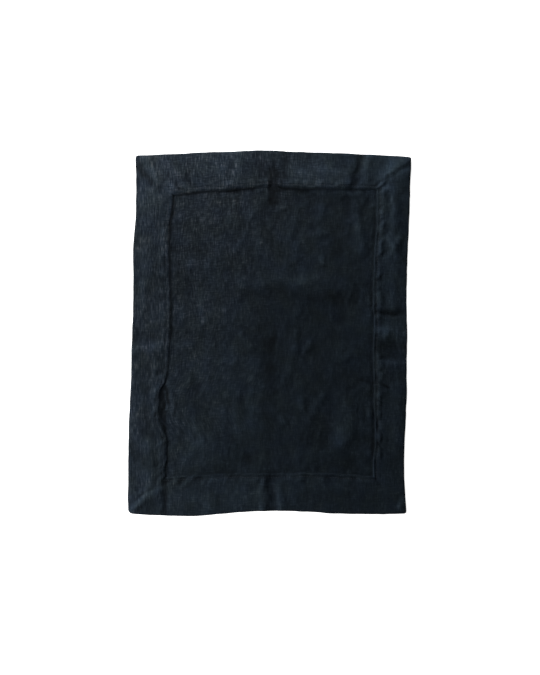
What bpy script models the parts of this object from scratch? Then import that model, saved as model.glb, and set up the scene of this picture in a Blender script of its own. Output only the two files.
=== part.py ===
"""A fabric placemat: one piece of heavy linen with a wide hem turned onto its upper face.

The cloth lies flat, as uneven as it came off the press: its sides wander by a few
millimetres, its hem is mitred at the corners, and two press folds cross in its middle.
Lengths are in millimetres until the mesh is made, which is in metres, with +Z up.
+Y runs along the cloth and the origin is under the middle of its box.
"""

import math
from collections import namedtuple

import bmesh
import bpy

METRE = 1000.0

# Thickness of the cloth where it lies single, double, and triple under the turned-in edge
FIELD_THICKNESS = 1.2
HEM_THICKNESS = 2.2
TURN_IN_THICKNESS = 2.6
MINIMUM_THICKNESS = 1.0     # under the deepest trough
SLACK = 0.35                # a ridge lower than this is only loft and stays on the table

# Puckers that the sewing draws along the hem, on the hem's side of its sewn edge
PUCKER_PITCH = 17.0
PUCKER_HEIGHT = 0.4
PUCKER_REACH = 0.35         # share of the hem's width, from the sewn edge

# Faces across and along the field inside the hem
COLUMNS = 42
ROWS = 54

CLOTH_COLOUR = (0.0105, 0.0150, 0.0195, 1.0)
CLOTH_ROUGHNESS = 0.9
SMOOTH_UP_TO = math.radians(40.0)

# The mitred corners: the outer fold's corner, the corner of the hem's sewn edge inside it,
# and how far the outer corner is rounded off along each side
Corner = namedtuple("Corner", "x y hem_x hem_y rounding")
CORNERS = {
    "top left": Corner(-169.8, 224.6, -122.8, 175.3, 4.0),
    "top right": Corner(179.3, 222.1, 135.8, 181.5, 3.0),
    "bottom right": Corner(173.3, -228.7, 132.0, -181.6, 4.0),
    "bottom left": Corner(-179.1, -228.4, -131.4, -182.8, 7.0),
}

# The four sides. Each row says how far the outer fold (fold) and the hem's sewn edge (hem)
# bow outwards from the straight lines between the corners, at a place along the side (at),
# which is x on the top and bottom sides and y on the left and right ones.
Bow = namedtuple("Bow", "at fold hem")
Side = namedtuple("Side", "start end along outward bows")
TOP = Side("top left", "top right", "x", 1.0, (
    Bow(-152.0, 0.5, 0.0),
    Bow(-120.0, 2.3, -0.6),
    Bow(-88.0, 4.4, 2.2),
    Bow(-44.0, 6.1, 4.2),
    Bow(1.0, 7.6, 6.6),
    Bow(26.0, 6.3, 4.3),
    Bow(64.0, 5.2, 3.1),
    Bow(115.0, 3.7, 0.4),
    Bow(160.0, 1.6, 0.0),
))
BOTTOM = Side("bottom left", "bottom right", "x", -1.0, (
    Bow(-159.0, 1.7, 0.0),
    Bow(-120.0, 3.2, -1.0),
    Bow(-88.0, 2.9, -2.6),
    Bow(-63.0, 0.5, -4.2),
    Bow(-25.0, -2.2, -4.6),
    Bow(13.0, -3.5, -4.1),
    Bow(39.0, -2.6, -4.7),
    Bow(96.0, 0.4, -2.7),
    Bow(128.0, 0.6, -0.4),
))
LEFT = Side("bottom left", "top left", "y", -1.0, (
    Bow(-190.0, 0.7, 0.0),
    Bow(-150.0, 1.5, -0.8),
    Bow(-134.0, 1.4, -0.9),
    Bow(-124.0, 1.2, 1.9),
    Bow(-112.0, 1.0, 8.9),
    Bow(-98.0, 0.8, 10.6),
    Bow(-84.0, 0.5, 10.8),
    Bow(-73.0, 0.0, 8.9),
    Bow(-64.0, -0.3, 4.0),
    Bow(-52.0, -0.3, 1.2),
    Bow(-34.0, -0.1, -0.5),
    Bow(0.0, -0.5, -1.3),
    Bow(46.0, -0.9, -0.7),
    Bow(106.0, 0.3, 3.4),
    Bow(144.0, -1.5, 2.1),
    Bow(162.0, -1.9, -0.4),
    Bow(182.0, -2.1, 0.0),
))
RIGHT = Side("bottom right", "top right", "y", 1.0, (
    Bow(-204.0, -1.9, 0.0),
    Bow(-172.0, -3.5, -0.9),
    Bow(-143.0, -3.6, 0.9),
    Bow(-115.0, -2.6, 1.0),
    Bow(-85.0, -1.8, -0.6),
    Bow(-60.0, -2.1, -1.3),
    Bow(-10.0, -2.3, -2.3),
    Bow(14.0, -2.6, -1.2),
    Bow(45.0, -3.5, -3.8),
    Bow(90.0, -3.1, -2.3),
    Bow(125.0, -2.2, 0.1),
    Bow(155.0, -1.6, 0.4),
    Bow(176.0, -1.1, 0.0),
))

# The main folds, ridges and troughs: straight runs from one point to another, with the
# distance from the line at which each has died away, and its height (a trough's is negative)
Fold = namedtuple("Fold", "x y to_x to_y reach height")
PRESS_FOLDS = (
    Fold(5.5, 233.0, 5.5, 207.0, 8.0, -0.4),
    Fold(6.0, 203.0, 5.5, 165.0, 9.0, -1.3),
    Fold(8.0, 201.0, 8.0, 186.0, 17.0, -1.0),
    Fold(-3.5, 206.0, -3.5, 186.0, 6.0, 0.4),
    Fold(15.5, 230.0, 14.5, 210.0, 7.0, 0.4),
    Fold(6.0, 165.0, 2.0, -180.0, 9.0, -0.2),
    Fold(4.0, -180.0, 4.0, -229.0, 8.0, -1.3),
    Fold(14.0, -190.0, 14.0, -228.0, 9.0, 1.0),
    Fold(-7.0, -186.0, -7.0, -228.0, 7.0, 1.6),
    Fold(-178.0, -4.0, -134.0, -8.0, 9.0, -1.1),
    Fold(-178.0, -19.5, -140.0, -19.5, 9.0, 1.2),
    Fold(-128.0, -8.0, 132.0, -9.0, 9.0, -0.2),
    Fold(134.0, 25.0, 176.0, 25.5, 7.5, -1.3),
    Fold(138.0, -1.0, 176.0, -3.0, 12.0, 1.9),
    Fold(140.0, -20.0, 174.0, -21.0, 11.0, -1.2),
)
HEM_FOLDS = (
    Fold(-102.0, 229.0, -102.0, 186.0, 6.5, -1.0),
    Fold(-37.0, 230.0, -38.5, 198.0, 9.0, 1.1),
    Fold(-15.0, 220.0, -6.0, 202.0, 11.0, -0.8),
    Fold(24.0, 230.0, 19.0, 193.0, 8.0, -1.0),
    Fold(31.0, 194.0, 78.0, 192.0, 30.0, 1.4),
    Fold(118.5, 228.0, 107.0, 183.0, 9.5, -1.6),
    Fold(126.5, 225.0, 120.5, 189.0, 9.0, 1.0),
    Fold(157.0, 176.0, 157.0, 34.0, 11.0, 1.2),
    Fold(162.5, -70.0, 160.5, -150.0, 13.0, 0.7),
    Fold(-155.0, 150.0, -158.0, 60.0, 15.0, 0.8),
    Fold(-147.0, -15.0, -138.0, -12.0, 7.0, 1.1),
    Fold(-141.0, -32.0, -148.0, -79.0, 8.0, 0.8),
    Fold(-149.0, -79.0, -147.0, -124.0, 8.0, 0.4),
    Fold(-133.5, -70.0, -134.5, -98.0, 7.0, -0.6),
    Fold(-134.5, -98.0, -131.5, -132.0, 6.0, -0.5),
    Fold(-153.0, -140.0, -154.0, -185.0, 14.0, 0.9),
    Fold(-131.0, -184.0, -131.5, -232.0, 6.5, -1.6),
    Fold(-72.0, -190.0, -74.0, -224.0, 16.0, 0.9),
    Fold(60.0, -196.0, 96.0, -198.0, 12.0, 0.6),
)
MITRE_FOLDS = (
    Fold(-156.0, 218.0, -140.0, 190.0, 7.0, 1.8),
    Fold(-168.0, 211.0, -151.0, 189.0, 8.0, -1.1),
    Fold(173.0, 217.0, 145.0, 190.0, 19.0, 2.0),
    Fold(184.0, 207.0, 156.0, 180.0, 13.0, 0.9),
    Fold(-173.0, -223.0, -137.0, -197.0, 7.5, 1.9),
    Fold(-149.5, -226.0, -133.5, -208.0, 9.0, -0.7),
    Fold(166.0, -228.0, 136.0, -193.5, 7.0, -0.3),
    Fold(171.0, -213.0, 169.0, -221.0, 9.0, 1.6),
)
FIELD_FOLDS = (
    Fold(-30.0, 62.0, 70.0, 64.0, 15.0, 0.5),
    Fold(38.0, -155.5, 126.0, -151.5, 20.0, 0.9),
    Fold(-101.0, -166.5, -48.0, -171.5, 13.0, -0.2),
    Fold(-37.0, 179.0, -37.0, 125.0, 8.0, -0.2),
    Fold(-19.5, 146.5, -15.5, 100.5, 11.0, 0.6),
    Fold(79.0, 162.5, 126.0, 165.5, 13.0, -0.2),
    Fold(113.0, 130.0, 113.0, 104.0, 13.0, 0.8),
    Fold(-124.0, -67.5, -121.0, -99.5, 8.0, 0.7),
    Fold(101.5, -59.0, 130.5, -64.0, 7.0, -0.2),
    Fold(73.0, -97.0, 97.0, -133.0, 15.0, 0.8),
    Fold(-78.0, 41.5, -58.0, -118.5, 30.0, 0.4),
)
FOLDS = PRESS_FOLDS + HEM_FOLDS + MITRE_FOLDS + FIELD_FOLDS

# The hem's section, from the outer fold (0) to its sewn edge (1), on the upper face
Ring = namedtuple("Ring", "across thickness")
HEM_SECTION = (
    Ring(0.000, 0.45 * HEM_THICKNESS),
    Ring(0.018, 0.92 * HEM_THICKNESS),
    Ring(0.120, HEM_THICKNESS),
    Ring(0.340, HEM_THICKNESS),
    Ring(0.560, HEM_THICKNESS),
    Ring(0.760, HEM_THICKNESS),
    Ring(0.860, TURN_IN_THICKNESS),
    Ring(0.975, TURN_IN_THICKNESS),
    Ring(1.000, FIELD_THICKNESS),
)
UNDERSIDE_INSET = 0.015     # the underside starts this far in from the outer fold, as a share
UNDERSIDE_RINGS = (UNDERSIDE_INSET, 0.20, 0.40, 0.60, 0.80, 1.0)


def smooth_between(rows, at):
    """Value at a place between rows of (place, value), on a curve through all of them."""
    last = len(rows) - 1
    index = 0
    while index < last - 1 and at > rows[index + 1][0]:
        index += 1
    before = rows[max(index - 1, 0)]
    low = rows[index]
    high = rows[index + 1]
    after = rows[min(index + 2, last)]
    span = high[0] - low[0]
    share = (at - low[0]) / span
    slope_low = (high[1] - before[1]) / (high[0] - before[0]) * span
    slope_high = (after[1] - low[1]) / (after[0] - low[0]) * span
    return (low[1] * (2 * share ** 3 - 3 * share ** 2 + 1)
            + slope_low * (share ** 3 - 2 * share ** 2 + share)
            + high[1] * (3 * share ** 2 - 2 * share ** 3)
            + slope_high * (share ** 3 - share ** 2))


def point_on_line(side, line, share):
    """Point on a side's outer fold or sewn edge, at a share of the way from start to end."""
    start = CORNERS[side.start]
    end = CORNERS[side.end]
    if line == "fold":
        first, last = (start.x, start.y), (end.x, end.y)
        bows = [(bow.at, bow.fold) for bow in side.bows]
    else:
        first, last = (start.hem_x, start.hem_y), (end.hem_x, end.hem_y)
        bows = [(bow.at, bow.hem) for bow in side.bows]
    axis = 0 if side.along == "x" else 1
    inside = [row for row in bows if first[axis] + 2.0 < row[0] < last[axis] - 2.0]
    rows = [(first[axis], 0.0)] + inside + [(last[axis], 0.0)]
    point = [first[i] + share * (last[i] - first[i]) for i in (0, 1)]
    point[1 - axis] += side.outward * smooth_between(rows, point[axis])
    return point


def rounded_fold_point(side, share):
    """Point on the outer fold, with the corner at either end rounded off."""
    length = CLOTH_LENGTHS[side.along]
    for corner_share, name in ((0.0, side.start), (1.0, side.end)):
        reach = CORNERS[name].rounding / length
        away = abs(share - corner_share)
        if away < reach:
            corner = CORNERS[name]
            near = point_on_line(side, "fold", abs(corner_share - reach))
            other = neighbour_point(side, name, CORNERS[name].rounding)
            turn = 0.5 * (1.0 - away / reach)
            return [near[i] * (1 - turn) ** 2
                    + (corner.x, corner.y)[i] * 2 * turn * (1 - turn)
                    + other[i] * turn ** 2 for i in (0, 1)]
    return point_on_line(side, "fold", share)


def neighbour_point(side, corner_name, distance):
    """Point on the other side that meets a corner, at a distance from that corner."""
    for other in (TOP, BOTTOM, LEFT, RIGHT):
        if other is not side and corner_name in (other.start, other.end):
            share = distance / CLOTH_LENGTHS[other.along]
            if corner_name == other.end:
                share = 1.0 - share
            return point_on_line(other, "fold", share)
    raise ValueError(corner_name)


CLOTH_LENGTHS = {
    "x": CORNERS["top right"].x - CORNERS["top left"].x,
    "y": CORNERS["top left"].y - CORNERS["bottom left"].y,
}


def fold_height(fold, x, y):
    """Height that one fold adds at a point: a round ridge or trough with round ends."""
    run_x = fold.to_x - fold.x
    run_y = fold.to_y - fold.y
    share = ((x - fold.x) * run_x + (y - fold.y) * run_y) / (run_x ** 2 + run_y ** 2)
    share = min(max(share, 0.0), 1.0)
    away = math.hypot(x - fold.x - share * run_x, y - fold.y - share * run_y) / fold.reach
    if away >= 1.0:
        return 0.0
    return fold.height * 0.5 * (1.0 + math.cos(math.pi * away))


def relief(x, y):
    """How far the folds lift or lower the cloth at a point."""
    return sum(fold_height(fold, x, y) for fold in FOLDS)


def pucker_height(x, y, across):
    """Height of the puckers at a point of the hem, at a share of the way across it."""
    fading = max(0.0, 1.0 - (1.0 - across) / PUCKER_REACH)
    phase = 2.0 * math.pi * (x - y) / PUCKER_PITCH
    return PUCKER_HEIGHT * fading * math.cos(phase + 1.3 * math.sin(0.23 * phase))


def loop_around(across):
    """Points of one loop round the hem, from the bottom left corner anticlockwise."""
    points = []
    for side, faces, backwards in ((BOTTOM, COLUMNS, False), (RIGHT, ROWS, False),
                                   (TOP, COLUMNS, True), (LEFT, ROWS, True)):
        for step in range(faces):
            share = step / faces
            if backwards:
                share = 1.0 - share
            fold = rounded_fold_point(side, share)
            hem = point_on_line(side, "hem", share)
            points.append([fold[i] + across * (hem[i] - fold[i]) for i in (0, 1)])
    return points


def field_point(column, row):
    """Point of the field, blended between the four sewn edges of the hem."""
    u = column / COLUMNS
    v = row / ROWS
    low = point_on_line(BOTTOM, "hem", u)
    high = point_on_line(TOP, "hem", u)
    left = point_on_line(LEFT, "hem", v)
    right = point_on_line(RIGHT, "hem", v)
    point = []
    for i in (0, 1):
        ends = [(CORNERS[name].hem_x, CORNERS[name].hem_y)[i]
                for name in ("bottom left", "bottom right", "top left", "top right")]
        corners = ((1 - v) * ((1 - u) * ends[0] + u * ends[1])
                   + v * ((1 - u) * ends[2] + u * ends[3]))
        point.append((1 - v) * low[i] + v * high[i]
                     + (1 - u) * left[i] + u * right[i] - corners)
    return point


def lower_height(point, thickness=0.0, across=0.0):
    """Height of the underside, which leaves the table only under the larger ridges."""
    return max(0.0, relief(*point) - SLACK)


def upper_height(point, thickness, across):
    """Height of the upper face over a point, for the thickness that lies there."""
    height = thickness + relief(*point)
    if thickness > FIELD_THICKNESS:
        height += pucker_height(*point, across)
    return max(height, min(thickness, MINIMUM_THICKNESS) + lower_height(point))


def add_face_of_cloth(bm, rings, height):
    """One face of the cloth: loops round the hem, then the field inside them."""
    loops = []
    for across, thickness in rings:
        points = loop_around(across)
        loops.append([bm.verts.new((*p, height(p, thickness, across))) for p in points])
    count = len(loops[0])
    for outer, inner in zip(loops, loops[1:]):
        for i in range(count):
            bm.faces.new((outer[i], outer[(i + 1) % count], inner[(i + 1) % count], inner[i]))

    grid = {}
    places = ([(c, 0) for c in range(COLUMNS)] + [(COLUMNS, r) for r in range(ROWS)]
              + [(c, ROWS) for c in range(COLUMNS, 0, -1)] + [(0, r) for r in range(ROWS, 0, -1)])
    for place, vert in zip(places, loops[-1]):
        grid[place] = vert
    for column in range(1, COLUMNS):
        for row in range(1, ROWS):
            point = field_point(column, row)
            grid[column, row] = bm.verts.new((*point, height(point, FIELD_THICKNESS, 1.0)))
    for column in range(COLUMNS):
        for row in range(ROWS):
            bm.faces.new((grid[column, row], grid[column + 1, row],
                          grid[column + 1, row + 1], grid[column, row + 1]))
    return loops[0]


def make_cloth_mesh():
    """The whole cloth as one closed mesh, in millimetres."""
    bm = bmesh.new()
    upper_rim = add_face_of_cloth(bm, HEM_SECTION, upper_height)
    upper_faces = set(bm.faces)
    lower_rings = [Ring(across, 0.0) for across in UNDERSIDE_RINGS]
    lower_rim = add_face_of_cloth(bm, lower_rings, lower_height)
    lower_faces = [face for face in bm.faces if face not in upper_faces]
    bmesh.ops.reverse_faces(bm, faces=lower_faces)
    count = len(upper_rim)
    for i in range(count):
        following = (i + 1) % count
        bm.faces.new((lower_rim[i], lower_rim[following], upper_rim[following], upper_rim[i]))
    return bm


def centre_and_scale(bm):
    """Put the origin under the middle of the cloth's box, and turn millimetres into metres."""
    middle = [0.5 * (min(v.co[i] for v in bm.verts) + max(v.co[i] for v in bm.verts))
              for i in (0, 1)]
    for vert in bm.verts:
        vert.co.x = (vert.co.x - middle[0]) / METRE
        vert.co.y = (vert.co.y - middle[1]) / METRE
        vert.co.z = vert.co.z / METRE


def linen_material():
    """Dark indigo linen, washed and matt."""
    material = bpy.data.materials.new("linen")
    material.use_nodes = True
    shader = material.node_tree.nodes["Principled BSDF"]
    shader.inputs["Base Color"].default_value = CLOTH_COLOUR
    shader.inputs["Roughness"].default_value = CLOTH_ROUGHNESS
    shader.inputs["Metallic"].default_value = 0.0
    return material


def main():
    for leftover in list(bpy.data.objects):
        bpy.data.objects.remove(leftover, do_unlink=True)

    bm = make_cloth_mesh()
    centre_and_scale(bm)
    bmesh.ops.triangulate(bm, faces=bm.faces[:], quad_method="SHORT_EDGE")
    mesh = bpy.data.meshes.new("placemat_cloth")
    bm.to_mesh(mesh)
    bm.free()
    mesh.shade_smooth()
    mesh.set_sharp_from_angle(angle=SMOOTH_UP_TO)
    mesh.materials.append(linen_material())

    cloth = bpy.data.objects.new("placemat_cloth", mesh)
    bpy.context.scene.collection.objects.link(cloth)


main()
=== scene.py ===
"""The looks of a fabric placemat: dark washed linen with a wide mitred hem, lying flat.

The cloth is modelled again on the CAD part's folds, finer and with its smaller creases, its
sewing and its weave. Lengths are in millimetres until a mesh is made, which is in metres.
+X runs across the cloth, +Y along it and +Z up; the origin is under the middle of its box.
"""

import math
from collections import namedtuple

import bpy
import numpy as np
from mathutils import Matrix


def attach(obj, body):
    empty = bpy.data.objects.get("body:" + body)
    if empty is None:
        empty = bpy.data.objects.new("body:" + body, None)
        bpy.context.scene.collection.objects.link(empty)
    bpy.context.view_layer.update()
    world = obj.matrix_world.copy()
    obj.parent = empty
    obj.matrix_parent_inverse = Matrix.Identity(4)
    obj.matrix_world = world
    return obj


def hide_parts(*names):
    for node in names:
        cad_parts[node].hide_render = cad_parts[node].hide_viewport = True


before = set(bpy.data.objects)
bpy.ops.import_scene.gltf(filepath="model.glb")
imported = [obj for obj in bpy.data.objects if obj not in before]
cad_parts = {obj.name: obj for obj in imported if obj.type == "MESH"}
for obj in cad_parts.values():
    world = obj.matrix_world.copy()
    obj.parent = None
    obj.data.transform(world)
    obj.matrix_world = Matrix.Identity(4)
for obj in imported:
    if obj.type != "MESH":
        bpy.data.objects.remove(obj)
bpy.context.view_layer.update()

METRE = 1000.0
CAD_NODE = "placemat_cloth"


def table(kind, *rows):
    """A table's rows, each of one kind and given by its columns in order."""
    return tuple(kind(*row) for row in rows)


# Sizes of the cloth, as in the CAD part

FIELD_THICKNESS = 1.2
HEM_THICKNESS = 2.2
TURN_IN_THICKNESS = 2.6
SLACK = 0.35
HEM_WIDTH = 45.0  # usual width, which turns distances into shares of it

# The mitred corners: the outer fold's corner, the corner of the hem's sewn edge inside it,
# and how far the outer corner is rounded off along each side
Corner = namedtuple("Corner", "x y hem_x hem_y rounding")
CORNERS = {
    "top left": Corner(-169.8, 224.6, -122.8, 175.3, 4.0),
    "top right": Corner(179.3, 222.1, 135.8, 181.5, 3.0),
    "bottom right": Corner(173.3, -228.7, 132.0, -181.6, 4.0),
    "bottom left": Corner(-179.1, -228.4, -131.4, -182.8, 7.0),
}

# How far the outer fold and the hem's sewn edge bow outwards from the straight lines
# between the corners, at places along each side: x on the top and bottom, y on the others
Bow = namedtuple("Bow", "at fold hem")
Side = namedtuple("Side", "name start end along outward bows")
TOP = Side("top", "top left", "top right", "x", 1, table(Bow,
    (-152, 0.5, 0), (-120, 2.3, -0.6), (-88, 4.4, 2.2), (-44, 6.1, 4.2), (1, 7.6, 6.6),
    (26, 6.3, 4.3), (64, 5.2, 3.1), (115, 3.7, 0.4), (160, 1.6, 0),
))
BOTTOM = Side("bottom", "bottom left", "bottom right", "x", -1, table(Bow,
    (-159, 1.7, 0), (-120, 3.2, -1), (-88, 2.9, -2.6), (-63, 0.5, -4.2), (-25, -2.2, -4.6),
    (13, -3.5, -4.1), (39, -2.6, -4.7), (96, 0.4, -2.7), (128, 0.6, -0.4),
))
LEFT = Side("left", "bottom left", "top left", "y", -1, table(Bow,
    (-190, 0.7, 0), (-150, 1.5, -0.8), (-134, 1.4, -0.9), (-124, 1.2, 1.9), (-112, 1, 8.9),
    (-98, 0.8, 10.6), (-84, 0.5, 10.8), (-73, 0, 8.9), (-64, -0.3, 4), (-52, -0.3, 1.2),
    (-34, -0.1, -0.5), (0, -0.5, -1.3), (46, -0.9, -0.7), (106, 0.3, 3.4), (144, -1.5, 2.1),
    (162, -1.9, -0.4), (182, -2.1, 0),
))
RIGHT = Side("right", "bottom right", "top right", "y", 1, table(Bow,
    (-204, -1.9, 0), (-172, -3.5, -0.9), (-143, -3.6, 0.9), (-115, -2.6, 1), (-85, -1.8, -0.6),
    (-60, -2.1, -1.3), (-10, -2.3, -2.3), (14, -2.6, -1.2), (45, -3.5, -3.8), (90, -3.1, -2.3),
    (125, -2.2, 0.1), (155, -1.6, 0.4), (176, -1.1, 0),
))
SIDES = (BOTTOM, RIGHT, TOP, LEFT)  # anticlockwise from the bottom left corner
BACKWARDS = (TOP, LEFT)  # run from their end to their start on that way round

# Folds, ridges and troughs: straight runs with the distance at which each has died away,
# and its height, which is negative in a trough. These four tables are the CAD part's.
Fold = namedtuple("Fold", "x y to_x to_y reach height")
PRESS_FOLDS = table(Fold,
    (5.5, 233, 5.5, 207, 8, -0.4),
    (6, 203, 5.5, 165, 9, -1.3),
    (8, 201, 8, 186, 17, -1),
    (-3.5, 206, -3.5, 186, 6, 0.4),
    (15.5, 230, 14.5, 210, 7, 0.4),
    (6, 165, 2, -180, 9, -0.2),
    (4, -180, 4, -229, 8, -1.3),
    (14, -190, 14, -228, 9, 1),
    (-7, -186, -7, -228, 7, 1.6),
    (-178, -4, -134, -8, 9, -1.1),
    (-178, -19.5, -140, -19.5, 9, 1.2),
    (-128, -8, 132, -9, 9, -0.2),
    (134, 25, 176, 25.5, 7.5, -1.3),
    (138, -1, 176, -3, 12, 1.9),
    (140, -20, 174, -21, 11, -1.2),
)
HEM_FOLDS = table(Fold,
    (-102, 229, -102, 186, 6.5, -1),
    (-37, 230, -38.5, 198, 9, 1.1),
    (-15, 220, -6, 202, 11, -0.8),
    (24, 230, 19, 193, 8, -1),
    (31, 194, 78, 192, 30, 1.4),
    (118.5, 228, 107, 183, 9.5, -1.6),
    (126.5, 225, 120.5, 189, 9, 1),
    (157, 176, 157, 34, 11, 1.2),
    (162.5, -70, 160.5, -150, 13, 0.7),
    (-155, 150, -158, 60, 15, 0.8),
    (-147, -15, -138, -12, 7, 1.1),
    (-141, -32, -148, -79, 8, 0.8),
    (-149, -79, -147, -124, 8, 0.4),
    (-133.5, -70, -134.5, -98, 7, -0.6),
    (-134.5, -98, -131.5, -132, 6, -0.5),
    (-153, -140, -154, -185, 14, 0.9),
    (-131, -184, -131.5, -232, 6.5, -1.6),
    (-72, -190, -74, -224, 16, 0.9),
    (60, -196, 96, -198, 12, 0.6),
)
MITRE_FOLDS = table(Fold,
    (-156, 218, -140, 190, 7, 1.8),
    (-168, 211, -151, 189, 8, -1.1),
    (173, 217, 145, 190, 19, 2),
    (184, 207, 156, 180, 13, 0.9),
    (-173, -223, -137, -197, 7.5, 1.9),
    (-149.5, -226, -133.5, -208, 9, -0.7),
    (166, -228, 136, -193.5, 7, -0.3),
    (171, -213, 169, -221, 9, 1.6),
)
FIELD_FOLDS = table(Fold,
    (-30, 62, 70, 64, 15, 0.5),
    (38, -155.5, 126, -151.5, 20, 0.9),
    (-101, -166.5, -48, -171.5, 13, -0.2),
    (-37, 179, -37, 125, 8, -0.2),
    (-19.5, 146.5, -15.5, 100.5, 11, 0.6),
    (79, 162.5, 126, 165.5, 13, -0.2),
    (113, 130, 113, 104, 13, 0.8),
    (-124, -67.5, -121, -99.5, 8, 0.7),
    (101.5, -59, 130.5, -64, 7, -0.2),
    (73, -97, 97, -133, 15, 0.8),
    (-78, 41.5, -58, -118.5, 30, 0.4),
)
FOLDS = PRESS_FOLDS + HEM_FOLDS + MITRE_FOLDS + FIELD_FOLDS

# What the CAD part leaves to this script

# Smaller creases of the field, from its top left to its bottom right
FIELD_CREASES = table(Fold,
    (-8.5, 168, -24.5, 144, 10, 1),
    (-50.5, 146, -50.5, 141, 9, 1.1),
    (-41, 172, -40, 136, 8, 0.7),
    (-13, 144, -14, 106, 7, 0.8),
    (-29, 125, -42, 105, 9, 1),
    (-19, 112.5, -21, 89.5, 8, -1),
    (-2, 106, -2, 84, 8, 0.8),
    (1, 140, 1, 134, 8, 1),
    (-123, 105.5, -90, 105.5, 9, -0.9),
    (-101.5, 88, -101.5, 84, 9, 1),
    (-78.5, 88, -78.5, 83, 9, 1),
    (-15, 61, 9, 68, 11, 0.4),
    (28.5, 63, 58.5, 67, 10, 0.4),
    (-37.5, 80.5, -34.5, 57.5, 9, 0.8),
    (-85, 52, -85, 26, 8, 0.7),
    (-109.5, 27, -109.5, 19, 9, 1.1),
    (-26, 23, -26, 18, 8, 1),
    (-95, 5.5, -81, 11.5, 10, 1),
    (16, 158.5, 44, 160.5, 9, 0.6),
    (34.5, 151, 23.5, 119, 9, 0.8),
    (66.5, 161.5, 63.5, 127.5, 9, 0.8),
    (60.5, 124, 74.5, 127, 8, 1),
    (98, 166, 98, 146, 8, -1.3),
    (127, 169.5, 117, 151.5, 9, -1.2),
    (110.5, 146.5, 119.5, 101.5, 9, 1),
    (34, 111.5, 35, 106.5, 8, 1.1),
    (66, 93.5, 67, 88.5, 8, 1.3),
    (90, 42, 90, 18, 13, -1.2),
    (110, 54.5, 108, 39.5, 10, -1.2),
    (-112, -16.5, -98, -15.5, 9, 1),
    (-37, 0, -24, -18, 9, 0.9),
    (-44.5, -22, -44.5, -38, 9, 0.9),
    (-0.5, -11.5, 1.5, -43.5, 14, -0.9),
    (-102.5, -57.5, -109.5, -73.5, 9, 0.7),
    (-21, -60, -8, -68, 8, 1.2),
    (-93, -75.5, -83, -57.5, 8, -1),
    (-36, -89, -28, -69, 8, -1),
    (-85, -136.5, -104, -159.5, 10, 0.6),
    (-104.5, -159.5, -112.5, -179.5, 9, 0.4),
    (-47.5, -86, -48.5, -136, 9, -0.8),
    (-26.5, -157, -26.5, -159, 9, -1.3),
    (-5, -160.5, -26, -188.5, 10, 0.6),
    (33, 0, 32, -22, 8, 0.8),
    (32, -23, 19, -61, 8, 0.8),
    (53.5, -12, 46.5, -22, 8, 0.9),
    (91, -14.5, 89, -32.5, 8, 0.9),
    (108.5, -24, 95.5, -33, 8, 1),
    (40.5, -66, 41.5, -94, 9, 0.9),
    (67, -79.5, 52, -110.5, 9, 0.9),
    (75.5, -94.5, 71.5, -140.5, 14, -1),
    (100, -76, 102, -138, 24, 1.1),
    (110, -84, 111, -138, 8, -0.5),
    (79, -137, 93, -141, 11, 0.9),
    (123, -63.5, 127, -91.5, 8, 0.7),
    (128, -100, 129, -130, 8, 0.9),
    (18, -108, 18, -114, 7, 1.1),
    (16, -182, 42, -182, 8, 0.7),
    (-84, -178, -46, -178, 14, -0.8),
    (-92, -148, -90, -184, 8, -0.5),
    (-96, -128, -70, -136, 14, 0.5),
    (-122, -150, -100, -150, 14, 0.4),
)
HEM_CREASES = table(Fold,
    (-59, 206, -59, 196, 8, 0.8),
    (146, 180, 143, 128, 8, 1.2),
    (159, 168, 159, 134, 8, 1),
    (148.5, 120.5, 164.5, 93.5, 7, 0.9),
    (163.5, 118.5, 149.5, 92.5, 7, 0.8),
    (142, -31.5, 173, -33.5, 9, -1.1),
    (144, -40, 176, -40, 8, 0.7),
    (136, -60, 152, -71, 4.5, -0.9),
    (178, 213, 151, 197, 5.5, -0.9),
    (151, 197, 146, 187, 5.5, -0.9),
    (183, 88, 181, 30, 16, -0.8),
    (-158.5, 59.5, -162.5, 19.5, 9, 0.9),
    (-146.5, -179, -152.5, -201, 9, 0.8),
    (-173, -209.5, -149, -193.5, 6, 0.9),
    (-148, -22, -142, -54, 7, 0.3),
    (-143, -66, -147, -118, 6, 0.3),
    (-131, -134, -132, -176, 5, -0.5),
    (-134, -190, -134, -202, 6, -0.8),
)

# Puffs of the hem along its sewn edge, on the left and on the right
Puff = namedtuple("Puff", "x y length reach height")
PUFFS = table(Puff,
    (-135, 141, 3, 6, 0.8),
    (-135, 125, 4, 6, 0.9),
    (-135, 114.5, 3, 6, 0.8),
    (-136, 99, 4, 6, 1),
    (-136, 90, 3, 6, 0.8),
    (-136, 72.5, 5, 6, 0.9),
    (-136, 54.5, 5, 6, 0.8),
    (-136, 35.5, 5, 6, 0.7),
    (-136, 21.5, 4, 6, 0.9),
    (142, 174, 5, 6, 1.2),
    (141, 152, 2, 5, 0.9),
    (141, 128, 2, 5, 0.8),
    (140, 109, 7, 6, 1.3),
    (139, 72, 3, 5, 0.8),
    (141, 43, 12, 7, 1.8),
    (139, 22, 2, 4, 0.7),
    (147, 0, 6, 12, 1.9),
    (139, -29, 2, 5, 1.2),
    (140, -41, 5, 6, 1.7),
    (140, -57, 4, 6, 1.6),
    (139, -81, 3, 5, 1.3),
    (139, -92, 3, 5, 1.4),
    (139, -103, 2, 5, 1.1),
    (140, -119, 6, 6, 1.4),
    (139, -134, 4, 5, 1.3),
    (139, -151, 3, 5, 1),
)
PUFF_FOLDS = tuple(Fold(puff.x, puff.y + 0.5 * puff.length, puff.x, puff.y - 0.5 * puff.length,
                        puff.reach, puff.height) for puff in PUFFS)
CREASES = FOLDS + FIELD_CREASES + HEM_CREASES + PUFF_FOLDS

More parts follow.
